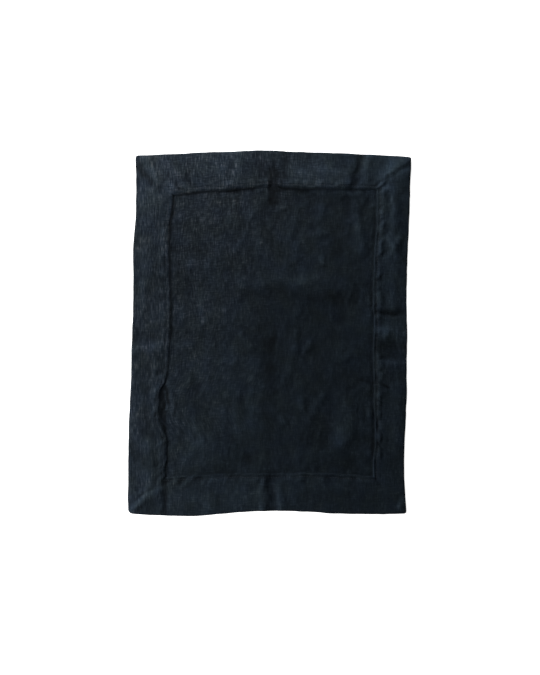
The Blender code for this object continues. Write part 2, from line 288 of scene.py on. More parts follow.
# Painted light and shade: places whose colour is painted lighter or darker than their own
# height makes it, in the same columns: the height stands for as much painted light and shade
# as a crease of that height has. They lie on the hem's four sides and in the field, and each
# table goes from the top down.
TOP_PAINTED_LIGHT_AND_SHADE = table(Fold,
    (-50, 222, 0, 225, 12, 0.6),
    (80, 219, 110, 218, 12, 0.8),
    (155, 215, 150, 206, 13, 2.6),
    (132, 222, 134, 198, 15, 1.8),
    (156, 222, 146, 197, 17, 3.4),
    (-150, 208, -70, 210, 15, 0.5),
    (36, 210, 44, 208, 12, 0.8),
    (-160, 219, -143, 197, 5.5, 2.2),
    (104, 214, 102.5, 202, 5, -1.3),
    (32, 206, 72, 205, 20, 1),
    (106, 214, 100, 196, 8, 1.2),
    (124, 208, 122, 198, 13, 0.6),
    (170, 206, 166, 198, 9, 1.6),
    (-164, 208, -149, 191, 5.5, -1.8),
    (170, 203, 170, 190, 8, 1),
    (88, 193, 95, 192, 8, -1.1),
    (147, 192, 157, 191, 7, -1.8),
    (14, 198, 13, 184, 11, -1.3),
    (99, 190, 104, 187, 6, 1.7),
    (-132, 190, -126, 186, 5, 1.8),
    (-124, 190, -124, 183, 5, 1.6),
)
LEFT_PAINTED_LIGHT_AND_SHADE = table(Fold,
    (-156, 184, -158, 166, 17, 1.4),
    (-152, 178, -152, 168, 14, 0.9),
    (-158, 172, -135, 168, 26, 1),
    (-158, 82, -158, 70, 20, 0.9),
    (-160, 20, -160, -16, 15, -0.5),
    (-146, -10, -136, -6, 6, 1.2),
    (-158, -44, -158, -58, 15, 0.8),
    (-140.5, -63, -144, -71, 4, 2.4),
    (-139.5, -66, -140, -73, 5, 2),
    (-130.4, -68, -130.2, -88, 2.5, -3.4),
    (-133, -72, -134, -100, 11, -1.3),
    (-131.9, -74, -131.7, -98, 2.4, 5),
    (-134, -88, -133, -122, 5, -1.2),
    (-171, -48, -173, -168, 14, 1),
    (-158, -104, -158, -118, 20, -0.9),
    (-132.6, -102, -130.8, -124, 5, -2),
    (-145, -112, -147, -128, 6, -1.1),
    (-133, -104, -131, -136, 7, -0.9),
)
RIGHT_PAINTED_LIGHT_AND_SHADE = table(Fold,
    (158.5, 170, 158, 145, 5, -1.4),
    (169, 160, 169, 140, 14, -0.7),
    (164.5, 172, 163.5, 108, 5, 1.4),
    (143.5, 122, 143.5, 111, 5, 1.7),
    (139, 112, 139, 98, 7, 0.8),
    (169, 106, 169, 98, 11, -0.7),
    (139, 48, 139, 33, 7, 1.8),
    (160, 28, 167, 28, 6, 1),
    (140, 27, 168, 27, 5, -0.8),
    (150, 12, 164, 12, 12, 1.2),
    (154, -6, 158, 12, 12, 0.6),
    (138, 1.5, 146, 0, 9, 2.4),
    (148, -19, 168, -20, 12, -0.4),
    (150, -46, 152, -60, 11, -0.8),
    (132.5, -61.5, 151, -69, 3, -1.4),
    (137, -62, 137, -94, 4, -0.9),
    (141, -57, 141, -100, 4.5, 1.8),
    (142.5, -78, 142.5, -86, 5, 1.2),
    (142.5, -140, 142.5, -157, 4.5, 1.8),
    (133, -157, 133, -182, 3.5, 3),
)
BOTTOM_PAINTED_LIGHT_AND_SHADE = table(Fold,
    (-138.5, -182, -138.5, -200, 5, 1),
    (-32, -205, -18, -206, 14, 1.2),
    (56, -205, 110, -206, 24, -0.5),
    (-174, -218, -140, -194, 6, 1.2),
    (14, -192, 14, -220, 10, 0.8),
    (-96, -206, -84, -208, 16, 1),
    (2, -190, 3, -224, 4, 0.9),
    (-16, -192, -16, -224, 12, 0.9),
    (-131.5, -188, -131.5, -230, 4.5, -1.4),
    (-0.5, -204, -0.5, -222, 5, 0.9),
    (-40, -214, -16, -215, 9, 0.8),
    (-10.5, -210, -11.5, -226, 5.5, 1.6),
    (164.5, -219, 172, -221, 8, 1.1),
)
FIELD_PAINTED_LIGHT_AND_SHADE = table(Fold,
    (1.5, 194, 1.5, 166, 6.5, -2.8),
    (6, 186, 8, 168, 7, -1.2),
    (-3.5, 186, -3.5, 166, 3, 1.5),
    (-118, 174.5, -127, 176.5, 4.5, 1.3),
    (-49.5, 177, -45.5, 171.5, 3, 1.2),
    (-46, 180, -44, 164, 10, -0.8),
    (50, 172, 72, 170, 13, -0.8),
    (40, 174, 40, 160, 16, 0.6),
    (-45.5, 171.5, -46, 160, 3, 1.2),
    (-40.5, 171, -40.5, 146, 5.5, -1.5),
    (-121, 164, -121.5, 152, 5.5, -1),
    (68, 120, 68, 98, 18, 1.5),
    (-20, 116, -18, 76, 15, 0.6),
    (-70, 84, -70, 66, 14, 0.6),
    (40, 80, 40, 70, 13, 0.8),
    (-10, 74, 52, 75, 13, 0.8),
    (40, 78, 40, 66, 12, 0.7),
    (66.5, 66, 66.5, 58, 8, -1),
    (-109.5, 59, -109.5, 53, 8, 1),
    (30, 56, 50, 54, 13, 0.8),
    (-32, 48, 100, 46, 16, -0.9),
    (60, 46, 78, 46, 12, -0.6),
    (-74, 40, -30, 48, 14, -0.5),
    (125, 48, 125, 2, 14, 0.8),
    (-0.5, 4, -0.5, -12, 8, 1.1),
    (118, -12, 118, -26, 13, 0.7),
    (2, -12, 2, -40, 16, -0.6),
    (-74, -44, -72, -58, 14, -0.8),
    (70, -50, 128, -66, 26, -0.6),
    (114.5, -58.8, 131.5, -61.3, 3, -1.3),
    (-20, -44, -22, -116, 22, 1.6),
    (-18, -74, -20, -92, 14, 0.8),
    (100, -72, 102, -94, 14, -1.1),
    (-50, -74, -50, -104, 16, 0.9),
    (-118.5, -89, -118.8, -106, 2.8, -1.8),
    (-71, -104, -71, -120, 15, 0.7),
    (-44, -104, -44, -126, 14, 0.9),
    (86, -120, 88, -140, 10, 1.2),
    (-100, -104, -100, -158, 24, 1.4),
    (129.2, -130, 129.2, -154, 4, -1.5),
    (-160, -143, -78, -143, 18, 0.5),
    (92, -144, 158, -144, 16, -0.5),
    (98, -142, 98, -158, 12, -0.9),
    (80, -165, 122, -165, 16, -0.6),
    (114, -166, 126, -172, 10, 1.6),
    (-135, -174, -80, -174, 14, 0.4),
    (-88, -174, -50, -176, 9, -0.5),
    (6, -176, 22, -176, 13, -0.5),
    (-72, -183, -50, -182, 7, 0.9),
)
PAINTED_LIGHT_AND_SHADE = TOP_PAINTED_LIGHT_AND_SHADE + LEFT_PAINTED_LIGHT_AND_SHADE + RIGHT_PAINTED_LIGHT_AND_SHADE + BOTTOM_PAINTED_LIGHT_AND_SHADE + FIELD_PAINTED_LIGHT_AND_SHADE

# Creases wander this far either way, over bends of this size, and rise and sink by this
# share along their run
CREASE_BEND = 2.0
CREASE_BEND_SIZE = 13.0
CREASE_UNEVEN = 0.45
CREASE_UNEVEN_SIZE = 1.5 * CREASE_BEND_SIZE
CREASE_SEEDS = (91, 92, 93)
THINNEST = 0.35  # the cloth at the bottom of a crease
THINNEST_SHARE = 0.8  # of its usual thickness, where that is less

# Faces across and along the field; the underside has one for each block of them
COLUMNS = 176
ROWS = 244
FACES = {"x": COLUMNS, "y": ROWS}
AXES = {"x": 0, "y": 1}
INSIDE = np.s_[1:-1, 1:-1]  # of a grid: all but its border
UNDERSIDE_BLOCK = 4
END_MARGIN = 2.0  # a bow counts only where it is this far from both corners

# The hem's section on the upper face: distance from the outer fold, and thickness
Ring = namedtuple("Ring", "across thickness")
OUTER_RINGS = table(Ring,
    (0.35, 0.25),
    (0, 0.95),
    (0.25, 1.65),
    (0.9, 2.1),
    (2, HEM_THICKNESS),
)
ROUNDED_WIDTH = 1.0  # the outer fold's rounded part, which relief never raises
RIM_TOP = 1.0  # the fold's lower part, where less light comes
# painted shade on that lower part of the fold
RIM_PAINTED_SHADE = 2.5
HEM_RING_STEP = 1.5
TURN_IN_START = 10.5  # distances back from the sewn edge
TURN_IN_FULL = 8.0
SEAM = 4.2  # the line of stitches
SEAM_DEPTH = 0.22
SEAM_REACH = 1.2
SEAM_RINGS = (2.4, SEAM_REACH, 0.5, 0.0, -0.5)  # back from the line of stitches
EDGE_ROLL = 3.0  # the sewn edge is rounded over this width
EDGE_STEPS = 6
UNDERSIDE_START = 1.0  # the underside begins this far in from the outer fold
UNDERSIDE_RINGS = (9.0, 18.0, 27.0, 36.0, HEM_WIDTH)

# Small waves of the outer fold and of the sewn edge to either side, with their sizes
Wave = namedtuple("Wave", "height sizes seed")
WAVES = {"fold": Wave(0.45, (19.0, 8.0), 61), "hem": Wave(0.95, (10.0, 4.5), 71)}
WAVE_FADE = 14.0  # distance from a corner at which they are at full size
COARSE_SHARE = 0.65  # of the larger size of every such pair of sizes

# Puckers that the sewing draws on both sides of it: where they are highest and where they
# have died away, as distances from the sewn edge
PUCKER_HEIGHT = 1.25
PUCKER_SIZES = (8.5, 4.5)
PUCKER_PEAK_HEM = 5.5
PUCKER_REACH_HEM = 16.0
PUCKER_PEAK_FIELD = 4.0
PUCKER_REACH_FIELD = 12.0
PUCKER_FIELD_SHARE = 0.6  # of their height on the hem
PUCKER_SEEDS = {"hem": 31, "left": 41, "right": 43, "bottom": 45, "top": 47}

# How each sewn edge lies: how far it is pressed down, the dip of the field at its foot, the
# painted shadow of the gap under it, how far dip and painted shadow reach, and how open the
# gap is along it
Gap = namedtuple("Gap", "at share")
Edge = namedtuple("Edge", "pressed dip dark reach gaps")
EDGES = {
    "bottom": Edge(1.05, 0.15, 0.2, 4.5, table(Gap, (-130, 1), (130, 1))),
    "right": Edge(0.95, 0.80, 1.6, 6.0, table(Gap,
        (-182, 0.2), (-160, 0.2), (-150, 0.9), (-140, 1.1), (-108, 0.9), (-90, 0.5), (-55, 0.4),
        (-5, 0.6), (8, 0.1), (22, 0.1), (35, 0.8), (66, 0.7), (85, 0.2), (105, 0.3), (120, 0.8),
        (140, 0.8), (152, 0.2), (180, 0.3),
    )),
    "top": Edge(-0.20, 0.50, 2.0, 8.0, table(Gap,
        (-123, 0.3), (-112, 0.7), (-98, 1), (-75, 0.6), (-45, 1), (-20, 1), (-13, -0.2),
        (-4, -0.2), (2, 0.9), (26, 0.7), (45, 0.9), (62, 0.6), (90, 0.2), (135, 0),
    )),
    "left": Edge(-0.35, 0.70, 1.6, 5.5, table(Gap,
        (-183, 0.8), (-150, 0.7), (-136, 0.4), (-118, 0.2), (-70, 0.1), (-56, -0.1),
        (-15, -0.1), (-5, 0.6), (60, 0.5), (110, 0.6), (125, 1), (175, 1.2),
    )),
}
GAP_ON_HEM = 1.0  # how far the gap's painted shadow reaches on the hem
PRESSED_REACH = 10.0  # how far the pressed part reaches from the sewn edge
PRESSED_UNEVEN = 0.5
PRESSED_SIZES = (28.0, 12.0)
PRESSED_SEED = 33

# Crumple of washed linen: size across and along its bumps, height, and how much of it is
# sharp ridges rather than round bumps
Crumple = namedtuple("Crumple", "across along height ridged seed")
CRUMPLES = table(Crumple,
    (38, 52, 0.7, 0, 11),
    (17, 27, 0.5, 0.5, 12),
    (8, 15, 0.3, 0.6, 13),
    (13, 6.5, 0.14, 0.6, 15),
    (4.2, 8.5, 0.17, 0.4, 14),
)
RIDGE_BEND = 0.5  # share of its size by which a ridge bends
RIDGE_TOP = 0.55  # height of its crest, and how steeply it falls from there
RIDGE_FALL = 2.2
RIDGE_SEED = 100  # added to the seed of its bumps
CALM_PATCH = 26.0  # size of the calmer and livelier patches of crumple
CALM_SEED = 21
CALM_NOISE = 0.7  # the noise at which they are calmest and liveliest
CALMEST = 0.35
LIVELIEST = 1.4
HEM_CRUMPLE = 0.85  # the doubled hem crumples this much as far as the field
NOISE_LATTICE = 128

# The hem's weave is taken from another place of the cloth than the field's
HEM_WEAVE_SHIFT = (3.0 * HEM_WIDTH, 5.0 * HEM_WIDTH)

# Sewing thread, and how far a stitch is lifted in its middle and dips at its ends
STITCH_LENGTH = 3.3
STITCH_GAP = 0.55
STITCH_SIDES = 6
STITCH_STEPS = 6
THREAD_RADIUS = 0.17
THREAD_PINCH = 0.25  # share by which it is thinner at a stitch's ends
UNDER_STITCHES = 0.12  # height of the lower line of stitches
Stitch = namedtuple("Stitch", "lift dip")
UPPER_STITCH = Stitch(0.14, 0.25)
UNDER_STITCH = Stitch(0.0, -0.4)


def smooth_between(rows, at):
    """Values at places between rows of (place, value), on a curve through all of them."""
    places, values = np.array(rows, dtype=float).T
    slopes = np.empty(len(rows))
    slopes[1:-1] = (values[2:] - values[:-2]) / (places[2:] - places[:-2])
    slopes[0] = (values[1] - values[0]) / (places[1] - places[0])
    slopes[-1] = (values[-1] - values[-2]) / (places[-1] - places[-2])
    low = np.clip(np.searchsorted(places, at, side="right") - 1, 0, len(rows) - 2)
    span = places[low + 1] - places[low]
    share = (at - places[low]) / span
    return (values[low] * (2 * share ** 3 - 3 * share ** 2 + 1)
            + slopes[low] * span * (share ** 3 - 2 * share ** 2 + share)
            + values[low + 1] * (3 * share ** 2 - 2 * share ** 3)
            + slopes[low + 1] * span * (share ** 3 - share ** 2))


def soft_noise(x, y, across, along, seed):
    """Smooth random heights between -1 and 1, with bumps of the sizes given."""
    lattice = np.random.default_rng(seed).uniform(-1.0, 1.0, (NOISE_LATTICE, NOISE_LATTICE))
    gx = np.asarray(x) / across + NOISE_LATTICE
    gy = np.asarray(y) / along + NOISE_LATTICE
    ix = np.floor(gx).astype(int)
    iy = np.floor(gy).astype(int)
    fx, fy = (f * f * f * (f * (f * 6 - 15) + 10) for f in (gx - ix, gy - iy))

    def corner(step_x, step_y):
        return lattice[(ix + step_x) % NOISE_LATTICE, (iy + step_y) % NOISE_LATTICE]

    low = corner(0, 0) * (1 - fx) + corner(1, 0) * fx
    high = corner(0, 1) * (1 - fx) + corner(1, 1) * fx
    return low * (1 - fy) + high * fy


def noise_along(places, sizes, seed):
    """Smooth random values along a line, from bumps of two sizes."""
    coarse = soft_noise(places, 0.0 * places, sizes[0], 1.0, seed)
    fine = soft_noise(places, 0.0 * places, sizes[1], 1.0, seed + 1)
    return COARSE_SHARE * coarse + (1.0 - COARSE_SHARE) * fine


def corner_point(name, line):
    """A corner of the outer fold or of the sewn edge."""
    corner = CORNERS[name]
    return (corner.x, corner.y) if line == "fold" else (corner.hem_x, corner.hem_y)


def line_points(side, line, share):
    """Points on a side's outer fold or sewn edge, at shares of the way from start to end."""
    first = corner_point(side.start, line)
    last = corner_point(side.end, line)
    axis = AXES[side.along]
    rows = [(first[axis], 0.0)]
    for bow in side.bows:
        if first[axis] + END_MARGIN < bow.at < last[axis] - END_MARGIN:
            rows.append((bow.at, bow.fold if line == "fold" else bow.hem))
    rows.append((last[axis], 0.0))
    points = np.outer(1.0 - share, first) + np.outer(share, last)
    places = points[:, axis]
    points[:, 1 - axis] += side.outward * smooth_between(rows, places)
    wave = WAVES[line]
    ends = np.minimum(places - first[axis], last[axis] - places) / WAVE_FADE
    points[:, 1 - axis] += (wave.height * np.clip(ends, 0.0, 1.0)
                            * noise_along(places, wave.sizes, wave.seed + 2 * SIDES.index(side)))
    return points


def fold_length(side):
    """Straight length of a side's outer fold."""
    return math.dist(corner_point(side.start, "fold"), corner_point(side.end, "fold"))


def fold_points(side, share):
    """Points on the outer fold, with the corner at either end rounded off."""
    points = line_points(side, "fold", share)
    for at_end, name in ((0.0, side.start), (1.0, side.end)):
        rounding = CORNERS[name].rounding
        reach = rounding / fold_length(side)
        near = line_points(side, "fold", np.array([abs(at_end - reach)]))[0]
        other = next(s for s in SIDES if s is not side and name in (s.start, s.end))
        other_share = rounding / fold_length(other)
        if name == other.end:
            other_share = 1.0 - other_share
        far = line_points(other, "fold", np.array([other_share]))[0]
        away = np.abs(share - at_end)
        turn = (0.5 * (1.0 - np.minimum(away / reach, 1.0)))[:, None]
        tip = np.array(corner_point(name, "fold"))
        rounded = near * (1 - turn) ** 2 + tip * 2 * turn * (1 - turn) + far * turn ** 2
        points = np.where((away < reach)[:, None], rounded, points)
    return points


def loop_lines():
    """The outer fold and the sewn edge as two loops of matching points."""
    folds = []
    hems = []
    for side in SIDES:
        share = np.arange(FACES[side.along]) / FACES[side.along]
        if side in BACKWARDS:
            share = 1.0 - share
        folds.append(fold_points(side, share))
        hems.append(line_points(side, "hem", share))
    return np.concatenate(folds), np.concatenate(hems)


def field_points():
    """Points of the field as an array of columns and rows, between the four sewn edges."""
    u = np.linspace(0.0, 1.0, COLUMNS + 1)
    v = np.linspace(0.0, 1.0, ROWS + 1)
    low, high = (line_points(side, "hem", u)[:, None, :] for side in (BOTTOM, TOP))
    left, right = (line_points(side, "hem", v)[None, :, :] for side in (LEFT, RIGHT))
    u = u[:, None, None]
    v = v[None, :, None]
    ends = {name: np.array(corner_point(name, "hem")) for name in CORNERS}
    corners = ((1 - v) * ((1 - u) * ends["bottom left"] + u * ends["bottom right"])
               + v * ((1 - u) * ends["top left"] + u * ends["top right"]))
    return (1 - v) * low + v * high + (1 - u) * left + u * right - corners


def fold_heights(folds, x, y):
    """Height that a table of folds adds at points: round ridges and troughs."""
    total = np.zeros(np.shape(x))
    for fold in folds:
        run_x = fold.to_x - fold.x
        run_y = fold.to_y - fold.y
        share = ((x - fold.x) * run_x + (y - fold.y) * run_y) / (run_x ** 2 + run_y ** 2)
        share = np.clip(share, 0.0, 1.0)
        away = np.hypot(x - fold.x - share * run_x, y - fold.y - share * run_y) / fold.reach
        total += fold.height * 0.5 * (1.0 + np.cos(math.pi * np.minimum(away, 1.0)))
    return total


def crease_heights(folds, x, y):
    """Height of a table of creases at points, uneven in course and along their run."""
    bend_x, bend_y = (soft_noise(x, y, CREASE_BEND_SIZE, CREASE_BEND_SIZE, seed)
                      for seed in CREASE_SEEDS[:2])
    uneven = soft_noise(x, y, CREASE_UNEVEN_SIZE, CREASE_UNEVEN_SIZE, CREASE_SEEDS[2])
    heights = fold_heights(folds, x + CREASE_BEND * bend_x, y + CREASE_BEND * bend_y)
    return (1.0 + CREASE_UNEVEN * uneven) * heights


def crumple_heights(x, y):
    """Height of the fine crumple at points: round bumps and sharper ridges."""
    total = np.zeros(np.shape(x))
    for crumple in CRUMPLES:
        size = (crumple.across, crumple.along)
        bumps = soft_noise(x, y, *size, crumple.seed)
        bent_x = x + RIDGE_BEND * crumple.across * bumps
        ridges = soft_noise(bent_x, y, *size, crumple.seed + RIDGE_SEED)
        ridges = RIDGE_TOP - RIDGE_FALL * np.abs(ridges)
        total += crumple.height * (bumps + crumple.ridged * (ridges - bumps))
    patches = soft_noise(x, y, CALM_PATCH, CALM_PATCH, CALM_SEED)
    lively = rise(patches + CALM_NOISE, 2.0 * CALM_NOISE)
    return total * (CALMEST + (LIVELIEST - CALMEST) * lively)


def pucker_heights(station, name):
    """Height of the puckers along the sewing, before they fade away from it."""
    return PUCKER_HEIGHT * noise_along(station, PUCKER_SIZES, PUCKER_SEEDS[name])


def rise(distance, reach):
    """Rises softly from nothing at no distance to one at the reach."""
    share = np.clip(distance / reach, 0.0, 1.0)
    return share ** 2 * (3 - 2 * share)


def fade(distance, peak, reach):
    """Rises softly from nothing to one at the peak, and falls to nothing at the reach."""
    return rise(distance, peak) * rise(reach - distance, reach - peak)


def lower_heights(points):
    """Height of the underside, which leaves the table only under the larger ridges."""
    return np.maximum(0.0, fold_heights(FOLDS, points[..., 0], points[..., 1]) - SLACK)


def upper_relief(points, crumple_share, extra):
    """How far creases, crumple and what else is given raise the upper face at points."""
    x = points[..., 0]
    y = points[..., 1]
    return crease_heights(CREASES, x, y) + crumple_share * crumple_heights(x, y) + extra


def upper_heights(points, thickness, relief):
    """Height of the upper face, which keeps a least thickness in the deeper creases."""
    least = lower_heights(points) + np.minimum(THINNEST_SHARE * thickness, THINNEST)
    return np.maximum(thickness + relief, least)


def hem_rings():
    """The rings across the hem's upper face, each as a share of its width and a thickness."""
    rings = [Ring(ring.across / HEM_WIDTH, ring.thickness) for ring in OUTER_RINGS]
    place = OUTER_RINGS[-1].across + HEM_RING_STEP
    while place < HEM_WIDTH - TURN_IN_START - 0.5 * HEM_RING_STEP:
        rings.append(Ring(place / HEM_WIDTH, HEM_THICKNESS))
        place += HEM_RING_STEP
    back_rings = [
        (TURN_IN_START, HEM_THICKNESS),
        (0.5 * (TURN_IN_START + TURN_IN_FULL), 0.5 * (HEM_THICKNESS + TURN_IN_THICKNESS)),
        (TURN_IN_FULL, TURN_IN_THICKNESS),
    ]
    for away in SEAM_RINGS:
        groove = 0.5 * (1.0 + math.cos(math.pi * min(abs(away) / SEAM_REACH, 1.0)))
        back_rings.append((SEAM + away, TURN_IN_THICKNESS - SEAM_DEPTH * groove))
    drop = TURN_IN_THICKNESS - FIELD_THICKNESS
    for step in range(EDGE_STEPS + 1):
        angle = 0.5 * math.pi * step / EDGE_STEPS
        back_rings.append((EDGE_ROLL * (1.0 - math.sin(angle)),
                           FIELD_THICKNESS + drop * math.cos(angle)))
    return rings + [Ring(1.0 - back / HEM_WIDTH, thickness) for back, thickness in back_rings]


def ring_faces(outer, inner):
    """Quads between two loops of vertex numbers with as many vertices each."""
    following = np.roll(np.arange(len(outer)), -1)
    return np.stack([outer, outer[following], inner[following], inner], axis=1).tolist()


def framed_grid(inside, loop):
    """A grid of vertex numbers: those of its inside, and those of the loop all round it."""
    columns, rows = np.add(inside.shape, 1)
    grid = np.empty((columns + 1, rows + 1), dtype=int)
    grid[INSIDE] = inside
    grid[:-1, 0] = loop[:columns]
    grid[-1, :-1] = loop[columns:columns + rows]
    grid[:0:-1, -1] = loop[columns + rows:2 * columns + rows]
    grid[0, :0:-1] = loop[2 * columns + rows:]
    return grid


def grid_faces(grid):
    """Quads of a grid of vertex numbers, anticlockwise as seen from above."""
    quads = np.stack([grid[:-1, :-1], grid[1:, :-1], grid[1:, 1:], grid[:-1, 1:]], axis=-1)
    return quads.reshape(-1, 4)


class MeshParts:
    """Vertices and faces gathered piece by piece. Each vertex has its place, its place on the
    flat cloth, whether it is on the hem, and its wear and painted light and shade: how far
    relief and the painted light and shade raise it."""

    def __init__(self):
        self.rows = []
        self.faces = []
        self.count = 0

    def add(self, points, heights, cloth, hem, wear_and_shade=0.0):
        """Add vertices at points and heights, and say which numbers they have."""
        columns = (points[..., 0], points[..., 1], heights, cloth[..., 0], cloth[..., 1], hem, wear_and_shade)
        rows = np.stack(np.broadcast_arrays(*columns), axis=-1)
        self.rows.append(rows.reshape(-1, len(columns)))
        numbers = np.arange(self.count, self.count + heights.size).reshape(heights.shape)
        self.count += heights.size
        return numbers


def gap_shares(side, points):
    """How open the gap under a sewn edge is at the places of points along it."""
    gaps = EDGES[side.name].gaps
    places = points[..., AXES[side.along]]
    return np.interp(places, [gap.at for gap in gaps], [gap.share for gap in gaps])


def hem_edge_values(hem_loop):
    """How far each place of the sewn edge is pressed down, and the painted shadow of its gap."""
    pressed = []
    dark = []
    start = 0
    for side in SIDES:
        edge = EDGES[side.name]
        count = FACES[side.along]
        pressed.append(np.full(count, edge.pressed))
        dark.append(edge.dark * gap_shares(side, hem_loop[start:start + count]))
        start += count
    return np.concatenate(pressed), np.concatenate(dark)


def add_hem(parts):
    """The hem's upper face in rings: its first ring, its last, and the line of stitches."""
    fold_loop, hem_loop = loop_lines()
    steps = np.linalg.norm(np.roll(hem_loop, -1, axis=0) - hem_loop, axis=1)
    station = np.concatenate([[0.0], np.cumsum(steps)[:-1]])
    pucker = pucker_heights(station, "hem")
    pressed, dark = hem_edge_values(hem_loop)
    pressed = pressed + PRESSED_UNEVEN * noise_along(station, PRESSED_SIZES, PRESSED_SEED)
    loops = []
    seam_loop = None
    for ring in hem_rings():
        points = fold_loop + ring.across * (hem_loop - fold_loop)
        back = HEM_WIDTH * (1.0 - ring.across)
        extra = pucker * fade(back, PUCKER_PEAK_HEM, PUCKER_REACH_HEM)
        extra = extra - pressed * (1.0 - rise(back, PRESSED_REACH)) * rise(back, EDGE_ROLL)
        relief = upper_relief(points, HEM_CRUMPLE, extra)
        heights = upper_heights(points, ring.thickness, relief)
        if ring.across * HEM_WIDTH < ROUNDED_WIDTH:
            heights = np.minimum(heights, ring.thickness + lower_heights(points))
        # wear and painted light and shade: ridges lighter, troughs darker as painted shade, with
        # the painted marks, the painted shadow of the gap and the rim's painted shade
        wear_and_shade = relief + crease_heights(PAINTED_LIGHT_AND_SHADE, points[:, 0], points[:, 1])
        wear_and_shade = wear_and_shade - dark * (1.0 - rise(back, GAP_ON_HEM))
        if ring.thickness < RIM_TOP:
            wear_and_shade = wear_and_shade - RIM_PAINTED_SHADE
        loops.append(parts.add(points, heights, points + np.array(HEM_WEAVE_SHIFT), 1.0, wear_and_shade))
        if math.isclose(back, SEAM):
            seam_loop = np.column_stack([points, heights])
    for outer, inner in zip(loops, loops[1:]):
        parts.faces += ring_faces(outer, inner)
    return loops[0], loops[-1], seam_loop


def add_field(parts, hem_loop):
    """The field's upper face, inside the hem's last ring."""
    points = field_points()
    u = np.linspace(0.0, 1.0, COLUMNS + 1)[:, None]
    v = np.linspace(0.0, 1.0, ROWS + 1)[None, :]
    width = CORNERS["top right"].hem_x - CORNERS["top left"].hem_x
    length = CORNERS["top left"].hem_y - CORNERS["bottom left"].hem_y
    extra = 0.0
    # painted light and shade from the rows of painted marks
    shade = crease_heights(PAINTED_LIGHT_AND_SHADE, points[..., 0], points[..., 1])
    for side, distance, along in ((LEFT, u * width, v * length),
                                  (RIGHT, (1 - u) * width, v * length),
                                  (BOTTOM, v * length, u * width),
                                  (TOP, (1 - v) * length, u * width)):
        pucker = pucker_heights(along, side.name)
        faded = fade(distance, PUCKER_PEAK_FIELD, PUCKER_REACH_FIELD)
        extra = extra + PUCKER_FIELD_SHARE * pucker * faded
        edge = EDGES[side.name]
        near = gap_shares(side, points) * (1.0 - rise(distance, edge.reach))
        extra = extra - edge.dip * near
        # painted shadow of the gap under the sewn edge
        shade = shade - edge.dark * near
    relief = upper_relief(points, 1.0, extra)
    heights = upper_heights(points, FIELD_THICKNESS, relief)
    cloth = np.stack(np.broadcast_arrays(u * width, v * length), axis=-1)
    # wear and painted light and shade: relief, the painted marks and the painted shadow of the gaps
    wear_and_shade = relief + shade
    numbers = parts.add(points[INSIDE], heights[INSIDE], cloth[INSIDE], 0.0, wear_and_shade[INSIDE])
    parts.faces += grid_faces(framed_grid(numbers, hem_loop)).tolist()


def add_underside(parts, rim):
    """The underside in larger faces, joined to the upper face's rim."""
    fold_loop, hem_loop = loop_lines()
    block = UNDERSIDE_BLOCK
    start = fold_loop + UNDERSIDE_START / HEM_WIDTH * (hem_loop - fold_loop)
    fine = parts.add(start, lower_heights(start), start, 1.0)
    parts.faces += ring_faces(fine, rim)
    loops = []
    for across in UNDERSIDE_RINGS:
        points = (fold_loop + across / HEM_WIDTH * (hem_loop - fold_loop))[::block]
        loops.append(parts.add(points, lower_heights(points), points, 1.0))
    coarse = loops[0]
    for i, following in enumerate(np.roll(coarse, -1)):
        edge = fine[np.arange((i + 1) * block, i * block - 1, -1) % len(fine)]
        parts.faces.append([*edge.tolist(), int(coarse[i]), int(following)])
    for outer, inner in zip(loops, loops[1:]):
        parts.faces += [face[::-1] for face in ring_faces(outer, inner)]
    inside = field_points()[::block, ::block][INSIDE]
    numbers = parts.add(inside, lower_heights(inside), inside, 0.0)
    faces = grid_faces(framed_grid(numbers, loops[-1]))
    parts.faces += faces[:, [0, 3, 2, 1]].tolist()  # clockwise, so that they face down


def make_object(name, points, faces, material):
    """A new mesh object in metres, from points in millimetres."""
    mesh = bpy.data.meshes.new(name)
    mesh.from_pydata((np.asarray(points) / METRE).tolist(), [], faces)
    mesh.update()
    mesh.shade_smooth()
    mesh.materials.append(material)
    made = bpy.data.objects.new(name, mesh)
    bpy.context.scene.collection.objects.link(made)
    return made


def make_cloth(material):
    """The cloth, and the line along its hem that the sewing follows."""
    parts = MeshParts()
    rim, hem_loop, seam = add_hem(parts)
    add_field(parts, hem_loop)
    add_underside(parts, rim)
    rows = np.concatenate(parts.rows)
    middle = 0.5 * (rows[:, :2].min(axis=0) + rows[:, :2].max(axis=0))
    rows[:, :2] -= middle
    seam[:, :2] -= middle
    cloth = make_object("linen_cloth", rows[:, :3], parts.faces, material)
    corners = np.empty(len(cloth.data.loops), dtype=int)
    cloth.data.loops.foreach_get("vertex_index", corners)
    layer = cloth.data.uv_layers.new(name="cloth")
    layer.data.foreach_set("uv", (rows[corners, 3:5] / METRE).astype("f").ravel())
    for name, values in (("hem", rows[:, 5]), ("wear_and_shade", rows[:, 6])):
        layer = cloth.data.attributes.new(name, "FLOAT", "POINT")
        layer.data.foreach_set("value", values.astype("f"))
    return cloth, seam


def resample(path, step):
    """Points along a closed path at an even step, as near to it as goes round exactly."""
    closed = np.vstack([path, path[:1]])
    lengths = np.concatenate([[0.0], np.cumsum(np.linalg.norm(np.diff(closed, axis=0), axis=1))])
    count = int(round(lengths[-1] / step))
    places = np.arange(count) * lengths[-1] / count
    return np.column_stack([np.interp(places, lengths, closed[:, i]) for i in range(3)])


